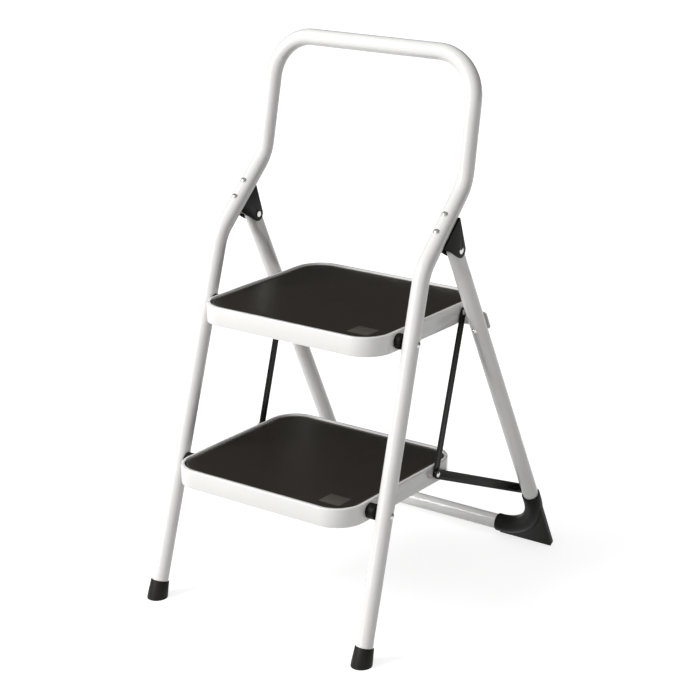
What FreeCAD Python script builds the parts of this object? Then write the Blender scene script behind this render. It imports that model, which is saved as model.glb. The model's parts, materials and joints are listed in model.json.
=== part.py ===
import FreeCAD, Part
import math
import os

import Sketcher

# Folding two-step stool with a high handrail, standing open.
# +X is to the right of a person facing the stool, +Y runs back, +Z is up.
# The origin is on the floor, in the middle of the stool's footprint.

Vector = FreeCAD.Vector
Rotation = FreeCAD.Rotation
X_AXIS = Vector(1, 0, 0)
Y_AXIS = Vector(0, 1, 0)
Z_AXIS = Vector(0, 0, 1)
RIGHT = 1
LEFT = -1
SIDE_NAMES = {RIGHT: "right", LEFT: "left"}

# Driving dimensions in millimetres. Heights and backs are measured from the
# point where the front legs' centrelines meet the floor.
SIZES = {
    "origin_back": 254.367,
    "tube_dia": 25,
    "tube_wall": 1.2,
    "foot_half_span": 192,
    "rail_half_span": 178,
    "knee_back": 158,
    "knee_height": 543,
    "slant_back": 109,
    "slant_rise": 104,
    "upright_back": 35,
    "upright_rise": 179,
    "rail_join": 25,
    "knee_radius": 60,
    "rail_radius": 65,
    "lower_pivot_height": 210,
    "step_rise": 235,
    "pan_half_width": 161.5,
    "pan_front": 60,
    "pan_back": 237,
    "pan_height": 28.5,
    "pan_top": 14,
    "pan_corner": 45,
    "pan_sheet": 1.2,
    "pan_hem": 8,
    "pan_edge": 2,
    "rim_width": 5,
    "recess_depth": 5,
    "mat_gap": 0.3,
    "mat_thick": 2.2,
    "bead_inset": 4,
    "bead_width": 2.5,
    "bead_height": 0.8,
    "link_to_notch": 8.5058,
    "link_up": 2,
    "link_thick": 3,
    "link_gap": 0.3,
    "side_link_width": 12.5,
    "brace_width": 15,
    "brace_slot": 34,
    "link_washer_dia": 12,
    "link_washer_thick": 1.6,
    "pivot_spacer_dia": 23,
    "rivet_dia": 6.2,
    "rivet_clearance": 0.08,
    "rivet_head_dia": 9.2,
    "rivet_head_height": 2.6,
    "link_head_dia": 9,
    "link_head_height": 1.7,
    "rivet_tail_dia": 9,
    "rivet_tail_height": 1.6,
    "seat_gap": 0.1,
    "tube_seat_gap": 0.25,
    "hinge_along": 68.6,
    "hinge_behind": 45.2,
    "cheek_thick": 3,
    "cheek_gap": 0.5,
    "lobe_radius": 10.8,
    "bracket_low": 46,
    "bracket_high": 99,
    "bracket_wrap": 6,
    "bracket_web": 4.5,
    "bracket_rivet_low": 60,
    "bracket_rivet_pitch": 30,
    "hinge_pin_dia": 7,
    "hinge_head_dia": 10.5,
    "hinge_head_height": 1.5,
    "hinge_tail_height": 1,
    "leg_top": 6,
    "squeeze_width": 17,
    "squeeze_depth": 29,
    "squeeze_end": 22,
    "squeeze_start": 50,
    "rear_floor_back": 520.5,
    "hinge_out": 2.206,
    "rear_floor_half_span": 192.8,
    "bar_height": 21,
    "rear_bend_radius": 80,
    "sleeve_wall": 2,
    "sleeve_gap": 0.1,
    "sleeve_rise": 94.2232,
    "sleeve_bar_end": 108,
    "gusset_thick": 8,
    "gusset_reach": 12.8,
    "gusset_corner": 10,
    "rest_height": 32,
    "rest_thick": 2,
    "rest_overhang": 10.3,
    "rest_corner": 5,
    "rest_gap": 0.4,
    "notch_gap": 3.7,
    "notch_up": 3.6,
    "stud_rise": 101.2232,
    "stud_dia": 12,
    "stud_shank_dia": 6,
    "stud_shank_length": 5,
    "tip_sole": 8,
    "tip_height": 27,
    "tip_top_radius": 14,
    "tip_foot_radius": 15.6,
    "tip_foot_height": 4,
    "tip_gap": 0.35,
    "tip_seat_gap": 0.4,
}

doc = FreeCAD.newDocument("folding_step_stool")
dims = doc.addObject("Spreadsheet::Sheet", "dims")


def fill_sheet():
    """Write every driving dimension into the sheet under its own name."""
    for row, (name, size) in enumerate(SIZES.items(), start=1):
        dims.set(f"A{row}", name)
        dims.set(f"B{row}", str(size))
        dims.setAlias(f"B{row}", name)
    doc.recompute()


def number(formula):
    """Value of a formula over the sheet's dimensions."""
    result = dims.evalExpression(formula)
    return float(getattr(result, "Value", result))


def d(name):
    """Formula for one dimension of the sheet."""
    return f"dims.{name}"


# Lines of the two frames, as formulas. Angles are in degrees.
TUBE_RADIUS = "(dims.tube_dia / 2)"
SHOULDER_BACK = "(dims.knee_back + dims.slant_back)"
SHOULDER_HEIGHT = "(dims.knee_height + dims.slant_rise)"
RAIL_BACK = f"({SHOULDER_BACK} + dims.upright_back)"
RAIL_HEIGHT = f"({SHOULDER_HEIGHT} + dims.upright_rise)"
FLARE = f"((dims.foot_half_span - dims.rail_half_span) / {RAIL_HEIGHT})"
LEAN = "atan(dims.knee_back / dims.knee_height)"
SLANT = "atan(dims.slant_back / dims.slant_rise)"
UPRIGHT = "atan(dims.upright_back / dims.upright_rise)"
HINGE_Y = f"(dims.knee_back + dims.hinge_along * sin({SLANT}) + dims.hinge_behind * cos({SLANT}))"
HINGE_Z = f"(dims.knee_height + dims.hinge_along * cos({SLANT}) - dims.hinge_behind * sin({SLANT}))"
REAR_LEAN = f"atan((dims.rear_floor_back - {HINGE_Y}) / {HINGE_Z})"
REAR_LENGTH = f"({HINGE_Z} / cos({REAR_LEAN}))"
HINGE_TUBE_HEIGHT = f"(dims.knee_height + dims.hinge_along * cos({SLANT}))"
REAR_TOP_SPAN = f"(dims.foot_half_span - {FLARE} * {HINGE_TUBE_HEIGHT} + dims.hinge_out)"
REAR_FLARE = f"((dims.rear_floor_half_span - {REAR_TOP_SPAN}) / {REAR_LENGTH})"
BAR_DROP = f"(({HINGE_Z} - dims.bar_height) / cos({REAR_LEAN}))"
RIVET_HOLE = "(dims.rivet_dia / 2 + dims.rivet_clearance)"
UPPER_PIVOT = "(dims.lower_pivot_height + dims.step_rise)"
LOWER_PIVOT = "dims.lower_pivot_height"

# A length that passes right through the stool, for cuts.
THROUGH = "(4 * dims.foot_half_span)"

# Faces across the stool's width, from the pan outwards to the links.
WASHER_FACE = "(dims.pan_half_width + (dims.link_gap / 2))"
SIDE_LINK_FACE = "(dims.pan_half_width + dims.link_washer_thick + dims.link_gap)"
BRACE_FACE = f"({SIDE_LINK_FACE} + dims.link_thick + dims.link_gap)"

# The rest bar lies just under the notch in the upper step, behind the rear legs.
REST_BACK = f"({TUBE_RADIUS} + dims.seat_gap)"
REST_TOP_Z = f"({UPPER_PIVOT} + dims.notch_up - dims.rest_gap)"
REST_RISE = f"(({REST_BACK} + dims.rest_thick) * sin({REAR_LEAN}))"
REST_TOP_DROP = f"(({HINGE_Z} + {REST_RISE} - {REST_TOP_Z}) / cos({REAR_LEAN}))"
REST_DROP = f"({REST_TOP_DROP} + dims.rest_height / 2)"
REST_TOP_Y = f"({HINGE_Y} + {REST_BACK} * cos({REAR_LEAN}) + {REST_TOP_DROP} * sin({REAR_LEAN}))"
NOTCH_NEAR = f"({REST_TOP_Y} - {UPPER_PIVOT} * dims.knee_back / dims.knee_height - dims.notch_gap)"
LINK_BACK = f"({NOTCH_NEAR} - dims.link_to_notch)"

# The brace runs from the lower step's rear pin to the rear leg's stud.
BRACE_PIN_Y = f"({LOWER_PIVOT} * dims.knee_back / dims.knee_height + {LINK_BACK})"
BRACE_PIN_Z = f"({LOWER_PIVOT} + dims.link_up)"
STUD_DROP = f"({BAR_DROP} - dims.stud_rise)"
STUD_Y = f"({HINGE_Y} + {STUD_DROP} * sin({REAR_LEAN}))"
STUD_Z = f"({HINGE_Z} - {STUD_DROP} * cos({REAR_LEAN}))"
BRACE_DIP = f"atan(({STUD_Z} - {BRACE_PIN_Z}) / ({STUD_Y} - {BRACE_PIN_Y}))"
BRACE_LENGTH = f"(({STUD_Y} - {BRACE_PIN_Y}) / cos({BRACE_DIP}))"

CHEEK_FACE = "(dims.squeeze_width / 2 + dims.cheek_gap + dims.cheek_thick)"


def front_half_span(height):
    """Formula for the front tube's distance from the middle, at a height."""
    return f"(dims.foot_half_span - {FLARE} * {height})"


def rear_half_span(drop):
    """Formula for the rear leg's distance from the middle, at a drop below the hinge."""
    return f"({REAR_TOP_SPAN} + {REAR_FLARE} * {drop})"


def leg_back(height):
    """Formula for how far back the lower front leg is, at a height."""
    return f"({height} * dims.knee_back / dims.knee_height)"


def new_body(label):
    """Empty body for one piece, named as the piece is."""
    return doc.addObject("PartDesign::Body", label)


def place(body, across, back, up, axis=X_AXIS, angle=None):
    """Set a body's placement by formulas, turned about one axis."""
    turn = number(angle) if angle else 0
    spot = Vector(number(across), number(back), number(up))
    body.Placement = FreeCAD.Placement(spot, Rotation(axis, turn))
    body.setExpression("Placement.Base.x", across)
    body.setExpression("Placement.Base.y", back)
    body.setExpression("Placement.Base.z", up)
    if angle:
        body.setExpression("Placement.Rotation.Angle", angle)
    return body


def standing_back(formula):
    """Formula for a distance back, counted from the stool's origin."""
    return f"{formula} - dims.origin_back"


def sketch_on(body, name, role, offset=("0", "0", "0"), axis=None, angle=None):
    """Sketch on one of the body's own origin planes, moved and turned in that plane's axes."""
    sketch = body.newObject("Sketcher::SketchObject", name)
    base = next(item for item in body.Origin.OriginFeatures if item.Role == role)
    sketch.AttachmentSupport = [(base, "")]
    sketch.MapMode = "FlatFace"
    turn = Rotation(axis, number(angle)) if axis else Rotation()
    sketch.AttachmentOffset = FreeCAD.Placement(Vector(*map(number, offset)), turn)
    for letter, formula in zip("xyz", offset):
        sketch.setExpression(f"AttachmentOffset.Base.{letter}", formula)
    if axis:
        sketch.setExpression("AttachmentOffset.Rotation.Angle", angle)
    return sketch


def bind_point(sketch, geometry, point, across, up):
    """Hold one point of a sketch at two formulas from the sketch's origin."""
    for kind, formula in (("DistanceX", across), ("DistanceY", up)):
        index = sketch.addConstraint(Sketcher.Constraint(kind, -1, 1, geometry, point, number(formula)))
        sketch.setExpression(f"Constraints[{index}]", formula)


def bind_radius(sketch, geometry, formula):
    """Hold the radius of an arc or circle at a formula."""
    index = sketch.addConstraint(Sketcher.Constraint("Radius", geometry, number(formula)))
    sketch.setExpression(f"Constraints[{index}]", formula)


def circle(sketch, across, up, radius):
    """Circle with its centre and radius held by formulas."""
    spot = Vector(number(across), number(up), 0)
    geometry = sketch.addGeometry(Part.Circle(spot, Z_AXIS, number(radius)))
    bind_point(sketch, geometry, 3, across, up)
    bind_radius(sketch, geometry, radius)
    return sketch


def arc_between(centre, radius, first, second):
    """Arc of a circle that turns anticlockwise from one point to another."""
    start = math.atan2(first.y - centre.y, first.x - centre.x)
    end = math.atan2(second.y - centre.y, second.x - centre.x)
    return Part.ArcOfCircle(Part.Circle(centre, Z_AXIS, radius), start, end)


def trace(sketch, corners, closed=True):
    """Draw straight runs through corners, each sharp or rounded by a tangent arc.

    A corner is (across, up, radius), three formulas, with None for a sharp one.
    """
    points = [Vector(number(across), number(up), 0) for across, up, _ in corners]
    count = len(corners)
    run_ends = []
    for i, (_, _, radius) in enumerate(corners):
        if not radius:
            run_ends.append((points[i], points[i]))
            continue
        before = (points[i] - points[i - 1]).normalize()
        after = (points[(i + 1) % count] - points[i]).normalize()
        cut = number(radius) * math.tan(before.getAngle(after) / 2)
        run_ends.append((points[i] - before * cut, points[i] + after * cut))
    runs = count if closed else count - 1
    lines = []
    for i in range(runs):
        line = Part.LineSegment(run_ends[i][1], run_ends[(i + 1) % count][0])
        lines.append(sketch.addGeometry(line))
    for i, (across, up, radius) in enumerate(corners):
        if not closed and i == count - 1:
            bind_point(sketch, lines[-1], 2, across, up)
        elif not closed and i == 0:
            bind_point(sketch, lines[0], 1, across, up)
        elif radius:
            round_corner(sketch, lines[i - 1], lines[i], run_ends[i], points[i], corners[i])
        else:
            sketch.addConstraint(Sketcher.Constraint("Coincident", lines[i - 1], 2, lines[i], 1))
            bind_point(sketch, lines[i], 1, across, up)
    return sketch


def round_corner(sketch, before, after, ends, point, corner):
    """Join two runs with an arc that is tangent to both, about a held corner point."""
    across, up, radius = corner
    inward = (point - ends[0]).normalize()
    outward = (ends[1] - point).normalize()
    turns_left = inward.x * outward.y - inward.y * outward.x > 0
    side = 1 if turns_left else -1
    size = number(radius)
    centre = ends[0] + Vector(-inward.y, inward.x, 0) * (side * size)
    first, second = ends if turns_left else (ends[1], ends[0])
    arc = sketch.addGeometry(arc_between(centre, size, first, second))
    arc_in, arc_out = (1, 2) if turns_left else (2, 1)
    vertex = sketch.addGeometry(Part.Point(point), True)
    sketch.addConstraint(Sketcher.Constraint("Tangent", before, 2, arc, arc_in))
    sketch.addConstraint(Sketcher.Constraint("Tangent", arc, arc_out, after, 1))
    sketch.addConstraint(Sketcher.Constraint("PointOnObject", vertex, 1, before))
    sketch.addConstraint(Sketcher.Constraint("PointOnObject", vertex, 1, after))
    bind_point(sketch, vertex, 1, across, up)
    bind_radius(sketch, arc, radius)


def extrude(body, kind, name, sketch, length, symmetric=False, reverse=False):
    """Pad or pocket from a sketch, by a length formula."""
    feature = body.newObject(f"PartDesign::{kind}", name)
    feature.Profile = sketch
    feature.SideType = "Symmetric" if symmetric else "One side"
    feature.Reversed = reverse
    feature.Length = number(length)
    feature.setExpression("Length", length)
    return feature


def pad(body, name, sketch, length, symmetric=False, reverse=False):
    """Solid raised from a sketch."""
    return extrude(body, "Pad", name, sketch, length, symmetric, reverse)


def pocket(body, name, sketch, length, symmetric=False, reverse=False):
    """Material cut away from a sketch, checked to have cut something."""
    doc.recompute()
    before = body.Shape.Volume
    feature = extrude(body, "Pocket", name, sketch, length, symmetric, reverse)
    doc.recompute()
    if not body.Shape.Volume < before:
        raise RuntimeError(f"{body.Label}: {name} cuts nothing")
    return feature


def sweep(body, kind, name, route, radii):
    """Round section swept along a route, solid or cut away."""
    section = body.newObject("Sketcher::SketchObject", f"{name}_section")
    section.AttachmentSupport = [(route, "Edge1")]
    section.MapMode = "NormalToEdge"
    section.MapPathParameter = 0
    for radius in radii:
        circle(section, "0", "0", radius)
    feature = body.newObject(f"PartDesign::{kind}", name)
    feature.Profile = section
    feature.Spine = route
    return feature


def mirror(body, name, features, role="YZ_Plane"):
    """Mirror features across one of the body's origin planes."""
    feature = body.newObject("PartDesign::Mirrored", name)
    feature.Originals = features
    base = next(item for item in body.Origin.OriginFeatures if item.Role == role)
    feature.MirrorPlane = (base, [""])
    body.Tip = feature
    return feature


def cut_at_floor(body, angle, depth):
    """Cut away what a tilted piece would have below the floor."""
    ground = sketch_on(body, "floor_cut_outline", "YZ_Plane", axis=Z_AXIS, angle=angle)
    low = f"(-{depth} - {THROUGH})"
    level = f"(-{depth})"
    reach = f"({depth} + {THROUGH})"
    trace(ground, [
        (f"(-{reach})", low, None), (reach, low, None),
        (reach, level, None), (f"(-{reach})", level, None),
    ])
    pocket(body, "floor_cut", ground, THROUGH, symmetric=True)


TUBE_SECTION = (TUBE_RADIUS, f"({TUBE_RADIUS} - dims.tube_wall)")


def make_front_frame():
    """One bent tube: two flared legs, their bends and the rounded handrail."""
    body = place(new_body("front_frame_tube"), "0", standing_back("0"), "0")
    join_y = f"({SHOULDER_BACK} + dims.rail_join * tan({UPRIGHT}))"
    join_z = f"({SHOULDER_HEIGHT} + dims.rail_join)"
    tilt = f"(-atan({FLARE}))"
    side = sketch_on(body, "side_route", "YZ_Plane", ("0", "0", d("foot_half_span")), X_AXIS, tilt)
    start_y = f"(dims.tip_sole * sin({LEAN}))"
    start_z = f"(dims.tip_sole * cos({LEAN}))"
    stretch = f"cos(atan({FLARE}))"
    trace(side, [
        (start_y, f"({start_z} / {stretch})", None),
        (d("knee_back"), f"(dims.knee_height / {stretch})", d("knee_radius")),
        (SHOULDER_BACK, f"({SHOULDER_HEIGHT} / {stretch})", d("knee_radius")),
        (join_y, f"({join_z} / {stretch})", None),
    ], closed=False)
    leg = sweep(body, "AdditivePipe", "leg", side, TUBE_SECTION)
    mirror(body, "both_legs", [leg])
    rail_offset = ("0", RAIL_HEIGHT, f"(-{RAIL_BACK})")
    rail = sketch_on(body, "rail_route", "XZ_Plane", rail_offset, X_AXIS, f"(-{UPRIGHT})")
    drop = f"(({RAIL_HEIGHT} - {join_z}) / cos({UPRIGHT}))"
    join_span = front_half_span(join_z)
    trace(rail, [
        (join_span, f"(-{drop})", None),
        (d("rail_half_span"), "0", d("rail_radius")),
        ("(-dims.rail_half_span)", "0", d("rail_radius")),
        (f"(-{join_span})", f"(-{drop})", None),
    ], closed=False)
    sweep(body, "AdditivePipe", "handrail", rail, TUBE_SECTION)
    pivots = sketch_on(body, "pivot_holes_outline", "YZ_Plane")
    for height in (LOWER_PIVOT, UPPER_PIVOT):
        circle(pivots, leg_back(height), height, RIVET_HOLE)
    pocket(body, "pivot_holes", pivots, THROUGH, symmetric=True)
    slanted = sketch_on(body, "bracket_holes_outline", "XZ_Plane",
                        ("0", d("knee_height"), "(-dims.knee_back)"), X_AXIS, f"(-{SLANT})")
    for along in bracket_rivet_places():
        across = slanted_half_span(along)
        for side_sign in ("", "-"):
            circle(slanted, f"({side_sign}{across})", along, RIVET_HOLE)
    pocket(body, "bracket_holes", slanted, "(2 * dims.tube_dia)", symmetric=True)
    return body


def bracket_rivet_places():
    """Formulas for how far up the slanted stretch the bracket's two rivets are."""
    return (d("bracket_rivet_low"), "(dims.bracket_rivet_low + dims.bracket_rivet_pitch)")


def slanted_half_span(along):
    """Formula for the tube's distance from the middle, part way up the slanted stretch."""
    return front_half_span(f"(dims.knee_height + {along} * cos({SLANT}))")


def make_front_foot(side):
    """Tapered rubber tip on a front leg, cut flat on the floor."""
    body = new_body(f"front_foot_{SIDE_NAMES[side]}")
    across = f"({side} * {front_half_span('(dims.tip_height / 2)')})"
    place(body, across, standing_back("0"), "0", X_AXIS, f"(-{LEAN})")
    bore = f"({TUBE_RADIUS} + dims.tip_gap)"
    seat = "(dims.tip_sole - dims.tip_seat_gap)"
    profile = sketch_on(body, "tip_profile", "XZ_Plane")
    trace(profile, [
        ("0", "(-dims.tip_sole)", None),
        (d("tip_foot_radius"), "(-dims.tip_sole)", None),
        (d("tip_foot_radius"), d("tip_foot_height"), None),
        (d("tip_top_radius"), d("tip_height"), None),
        (bore, d("tip_height"), None),
        (bore, seat, None),
        ("0", seat, None),
    ])
    turn = body.newObject("PartDesign::Revolution", "tip")
    turn.Profile = profile
    turn.ReferenceAxis = (profile, ["V_Axis"])
    turn.Angle = 360
    cut_at_floor(body, LEAN, "0")
    return body


def make_bracket(side):
    """Moulded hinge bracket: two teardrop cheeks joined by a web that hugs the slanted tube."""
    body = new_body(f"hinge_bracket_{SIDE_NAMES[side]}")
    across = f"({side} * {REAR_TOP_SPAN})"
    place(body, across, standing_back(HINGE_Y), HINGE_Z, X_AXIS, f"(-{SLANT})")
    front = "(-(dims.hinge_behind - dims.bracket_wrap))"
    low = "(dims.bracket_low - dims.hinge_along)"
    high = "(dims.bracket_high - dims.hinge_along)"
    outline = sketch_on(body, "cheek_outline", "YZ_Plane")
    teardrop(outline, front, low, high, d("lobe_radius"))
    pad(body, "cheeks", outline, f"(2 * {CHEEK_FACE})", symmetric=True)
    slot = sketch_on(body, "leg_slot_outline", "YZ_Plane")
    web_back = f"(-(dims.hinge_behind - {TUBE_RADIUS} - dims.bracket_web))"
    trace(slot, [
        (web_back, f"(-{THROUGH})", None), (THROUGH, f"(-{THROUGH})", None),
        (THROUGH, THROUGH, None), (web_back, THROUGH, None),
    ])
    pocket(body, "leg_slot", slot, "(dims.squeeze_width + 2 * dims.cheek_gap)", symmetric=True)
    saddle_spot = f"({side} * ({slanted_half_span(d('hinge_along'))} - {REAR_TOP_SPAN}))"
    tilt = f"(-{side} * atan({FLARE} * cos({SLANT})))"
    saddle = sketch_on(body, "saddle_outline", "XY_Plane",
                       (saddle_spot, "(-dims.hinge_behind)", "0"), Y_AXIS, tilt)
    circle(saddle, "0", "0", f"({TUBE_RADIUS} + dims.seat_gap)")
    pocket(body, "saddle", saddle, THROUGH, symmetric=True)
    pin = sketch_on(body, "pin_hole_outline", "YZ_Plane")
    circle(pin, "0", "0", "(dims.hinge_pin_dia / 2 + dims.rivet_clearance)")
    pocket(body, "pin_hole", pin, THROUGH, symmetric=True)
    rivets = sketch_on(body, "rivet_holes_outline", "XZ_Plane")
    for along in bracket_rivet_places():
        spot = f"({side} * ({slanted_half_span(along)} - {REAR_TOP_SPAN}))"
        circle(rivets, spot, f"({along} - dims.hinge_along)", RIVET_HOLE)
    pocket(body, "rivet_holes", rivets, THROUGH, symmetric=True)
    return body


def teardrop(sketch, front, low, high, radius):
    """Triangle with a straight front edge whose third corner is a round lobe at the origin."""
    front_x = number(front)
    lobe = number(radius)
    ends = []
    for height, turn in ((number(high), -1), (number(low), 1)):
        reach = math.hypot(front_x, height)
        angle = math.atan2(height, front_x) + turn * math.acos(lobe / reach)
        ends.append(Vector(lobe * math.cos(angle), lobe * math.sin(angle), 0))
    top, bottom = ends
    upper_corner = Vector(front_x, number(high), 0)
    lower_corner = Vector(front_x, number(low), 0)
    back = sketch.addGeometry(arc_between(Vector(), lobe, bottom, top))
    upper = sketch.addGeometry(Part.LineSegment(top, upper_corner))
    straight = sketch.addGeometry(Part.LineSegment(upper_corner, lower_corner))
    lower = sketch.addGeometry(Part.LineSegment(lower_corner, bottom))
    sketch.addConstraint(Sketcher.Constraint("Coincident", back, 3, -1, 1))
    bind_radius(sketch, back, radius)
    sketch.addConstraint(Sketcher.Constraint("Tangent", back, 2, upper, 1))
    sketch.addConstraint(Sketcher.Constraint("Tangent", lower, 2, back, 1))
    sketch.addConstraint(Sketcher.Constraint("Coincident", upper, 2, straight, 1))
    sketch.addConstraint(Sketcher.Constraint("Coincident", straight, 2, lower, 1))
    bind_point(sketch, straight, 1, front, high)
    bind_point(sketch, straight, 2, front, low)


def rivet_profile(body, name, shank, head, head_height, grip, tail, tail_height):
    """Rivet turned about its own axis: domed head above the origin, flat tail below the grip."""
    profile = sketch_on(body, f"{name}_profile", "XZ_Plane")
    shank_radius = f"({shank} / 2)"
    head_radius = f"({head} / 2)"
    tail_radius = f"({tail} / 2)"
    bottom = f"(-{grip} - {tail_height})"
    path = [
        (head_radius, "0"), (shank_radius, "0"), (shank_radius, f"(-{grip})"),
        (tail_radius, f"(-{grip})"), (tail_radius, bottom), ("0", bottom), ("0", head_height),
    ]
    spots = [Vector(number(across), number(up), 0) for across, up in path]
    lines = []
    for first, second in zip(spots, spots[1:]):
        lines.append(profile.addGeometry(Part.LineSegment(first, second)))
    rise = number(head_height)
    dome_radius = (spots[0].x ** 2 + rise ** 2) / (2 * rise)
    centre = Vector(0, rise - dome_radius, 0)
    dome = profile.addGeometry(arc_between(centre, dome_radius, spots[0], spots[-1]))
    for first, second in zip(lines, lines[1:]):
        profile.addConstraint(Sketcher.Constraint("Coincident", first, 2, second, 1))
    profile.addConstraint(Sketcher.Constraint("Coincident", lines[-1], 2, dome, 2))
    profile.addConstraint(Sketcher.Constraint("Coincident", dome, 1, lines[0], 1))
    profile.addConstraint(Sketcher.Constraint("PointOnObject", dome, 3, -2))
    for line, (across, up) in zip(lines, path):
        bind_point(profile, line, 1, across, up)
    bind_point(profile, lines[-1], 2, *path[-1])
    turn = body.newObject("PartDesign::Revolution", name)
    turn.Profile = profile
    turn.ReferenceAxis = (profile, ["V_Axis"])
    turn.Angle = 360
    return turn


def make_cross_rivet(label, side, outer_face, inner_face, back, up, head, head_height, tail_height):
    """Rivet along the stool's width, with its head outwards and its tail inside."""
    body = new_body(label)
    across = f"({side} * {outer_face})"
    place(body, across, standing_back(back), up, Y_AXIS, f"({side} * 90)")
    grip = f"({outer_face} - {inner_face})"
    rivet_profile(body, "rivet", d("rivet_dia"), head, head_height, grip,
                  d("rivet_tail_dia"), tail_height)
    return body


def make_bracket_rivets(side):
    """Two domed rivets through the slanted tube into the bracket's web."""
    body = new_body(f"bracket_rivets_{SIDE_NAMES[side]}")
    low, high = bracket_rivet_places()
    place(body, "0", standing_back(d("knee_back")), d("knee_height"), X_AXIS, f"(-{SLANT})")
    grip = f"({TUBE_RADIUS} * 2 + dims.bracket_web + 2 * dims.seat_gap)"
    for name, along in (("lower_rivet", low), ("upper_rivet", high)):
        across = f"({side} * {slanted_half_span(along)})"
        seat = f"(-{TUBE_RADIUS} - dims.seat_gap)"
        front_rivet(body, name, across, seat, along, grip)
    return body


def front_rivet(body, name, across, seat, up, grip):
    """Rivet whose domed head faces the body's own front and whose shank runs back."""
    profile = sketch_on(body, f"{name}_profile", "XY_Plane", ("0", "0", up))
    head_radius = "(dims.rivet_head_dia / 2)"
    shank_radius = "(dims.rivet_dia / 2)"
    tail_radius = "(dims.rivet_tail_dia / 2)"
    crown = f"({seat} - dims.rivet_head_height)"
    grip_end = f"({seat} + {grip})"
    tail_end = f"({grip_end} + dims.rivet_tail_height)"
    path = [
        (across, crown), (across, tail_end), (f"({across} + {tail_radius})", tail_end),
        (f"({across} + {tail_radius})", grip_end), (f"({across} + {shank_radius})", grip_end),
        (f"({across} + {shank_radius})", seat), (f"({across} + {head_radius})", seat),
    ]
    spots = [Vector(number(x), number(y), 0) for x, y in path]
    lines = []
    for first, second in zip(spots, spots[1:]):
        lines.append(profile.addGeometry(Part.LineSegment(first, second)))
    rise = number("dims.rivet_head_height")
    half = number(head_radius)
    dome_radius = (half ** 2 + rise ** 2) / (2 * rise)
    centre = spots[0] + Vector(0, dome_radius, 0)
    dome = profile.addGeometry(arc_between(centre, dome_radius, spots[0], spots[-1]))
    for first, second in zip(lines, lines[1:]):
        profile.addConstraint(Sketcher.Constraint("Coincident", first, 2, second, 1))
    profile.addConstraint(Sketcher.Constraint("Coincident", lines[-1], 2, dome, 2))
    profile.addConstraint(Sketcher.Constraint("Coincident", dome, 1, lines[0], 1))
    profile.addConstraint(Sketcher.Constraint("PointOnObject", dome, 3, lines[0]))
    for line, (x, y) in zip(lines, path):
        bind_point(profile, line, 1, x, y)
    bind_point(profile, lines[-1], 2, *path[-1])
    turn = body.newObject("PartDesign::Revolution", name)
    turn.Profile = profile
    turn.ReferenceAxis = (profile, ["Edge1"])
    turn.Angle = 360
    return turn


def make_hinge_pin(side):
    """Riveted pin through the bracket's cheeks and the top of the rear leg."""
    body = new_body(f"hinge_pin_{SIDE_NAMES[side]}")
    half = f"({CHEEK_FACE} + dims.seat_gap)"
    across = f"({side} * ({REAR_TOP_SPAN} + {half}))"
    place(body, across, standing_back(HINGE_Y), HINGE_Z, Y_AXIS, f"({side} * 90)")
    rivet_profile(body, "pin", d("hinge_pin_dia"), d("hinge_head_dia"), d("hinge_head_height"),
                  f"(2 * {half})", d("rivet_tail_dia"), d("hinge_tail_height"))
    return body


def place_on_rear_frame(body, across="0"):
    """Stand a body at the hinge axis, turned so that its own -Z runs down the rear leg."""
    return place(body, across, standing_back(HINGE_Y), HINGE_Z, X_AXIS, REAR_LEAN)


def make_rear_frame():
    """U-shaped tube: two legs squeezed flat at the hinge, and the bar between them at the floor."""
    body = place_on_rear_frame(new_body("rear_frame_tube"))
    route = sketch_on(body, "frame_route", "XZ_Plane")
    top_span = rear_half_span(d("squeeze_start"))
    corner_span = rear_half_span(BAR_DROP)
    trace(route, [
        (top_span, "(-dims.squeeze_start)", None),
        (corner_span, f"(-{BAR_DROP})", d("rear_bend_radius")),
        (f"(-{corner_span})", f"(-{BAR_DROP})", d("rear_bend_radius")),
        (f"(-{top_span})", "(-dims.squeeze_start)", None),
    ], closed=False)
    sweep(body, "AdditivePipe", "bent_tube", route, TUBE_SECTION)
    for side, word in SIDE_NAMES.items():
        make_squeezed_end(body, side, word)
    hinge = sketch_on(body, "hinge_hole_outline", "YZ_Plane")
    circle(hinge, "0", "0", "(dims.hinge_pin_dia / 2 + dims.rivet_clearance)")
    pocket(body, "hinge_hole", hinge, THROUGH, symmetric=True)
    rest = sketch_on(body, "rest_holes_outline", "XZ_Plane")
    for sign in ("", "-"):
        circle(rest, f"({sign}{rear_half_span(REST_DROP)})", f"(-{REST_DROP})", RIVET_HOLE)
    pocket(body, "rest_holes", rest, "(2 * dims.tube_dia)", symmetric=True)
    stud = sketch_on(body, "stud_holes_outline", "YZ_Plane")
    circle(stud, "0", f"(-{STUD_DROP})", "(dims.stud_shank_dia / 2 + dims.rivet_clearance)")
    pocket(body, "stud_holes", stud, f"(2 * {rear_half_span(STUD_DROP)})", symmetric=True)
    return body


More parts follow.
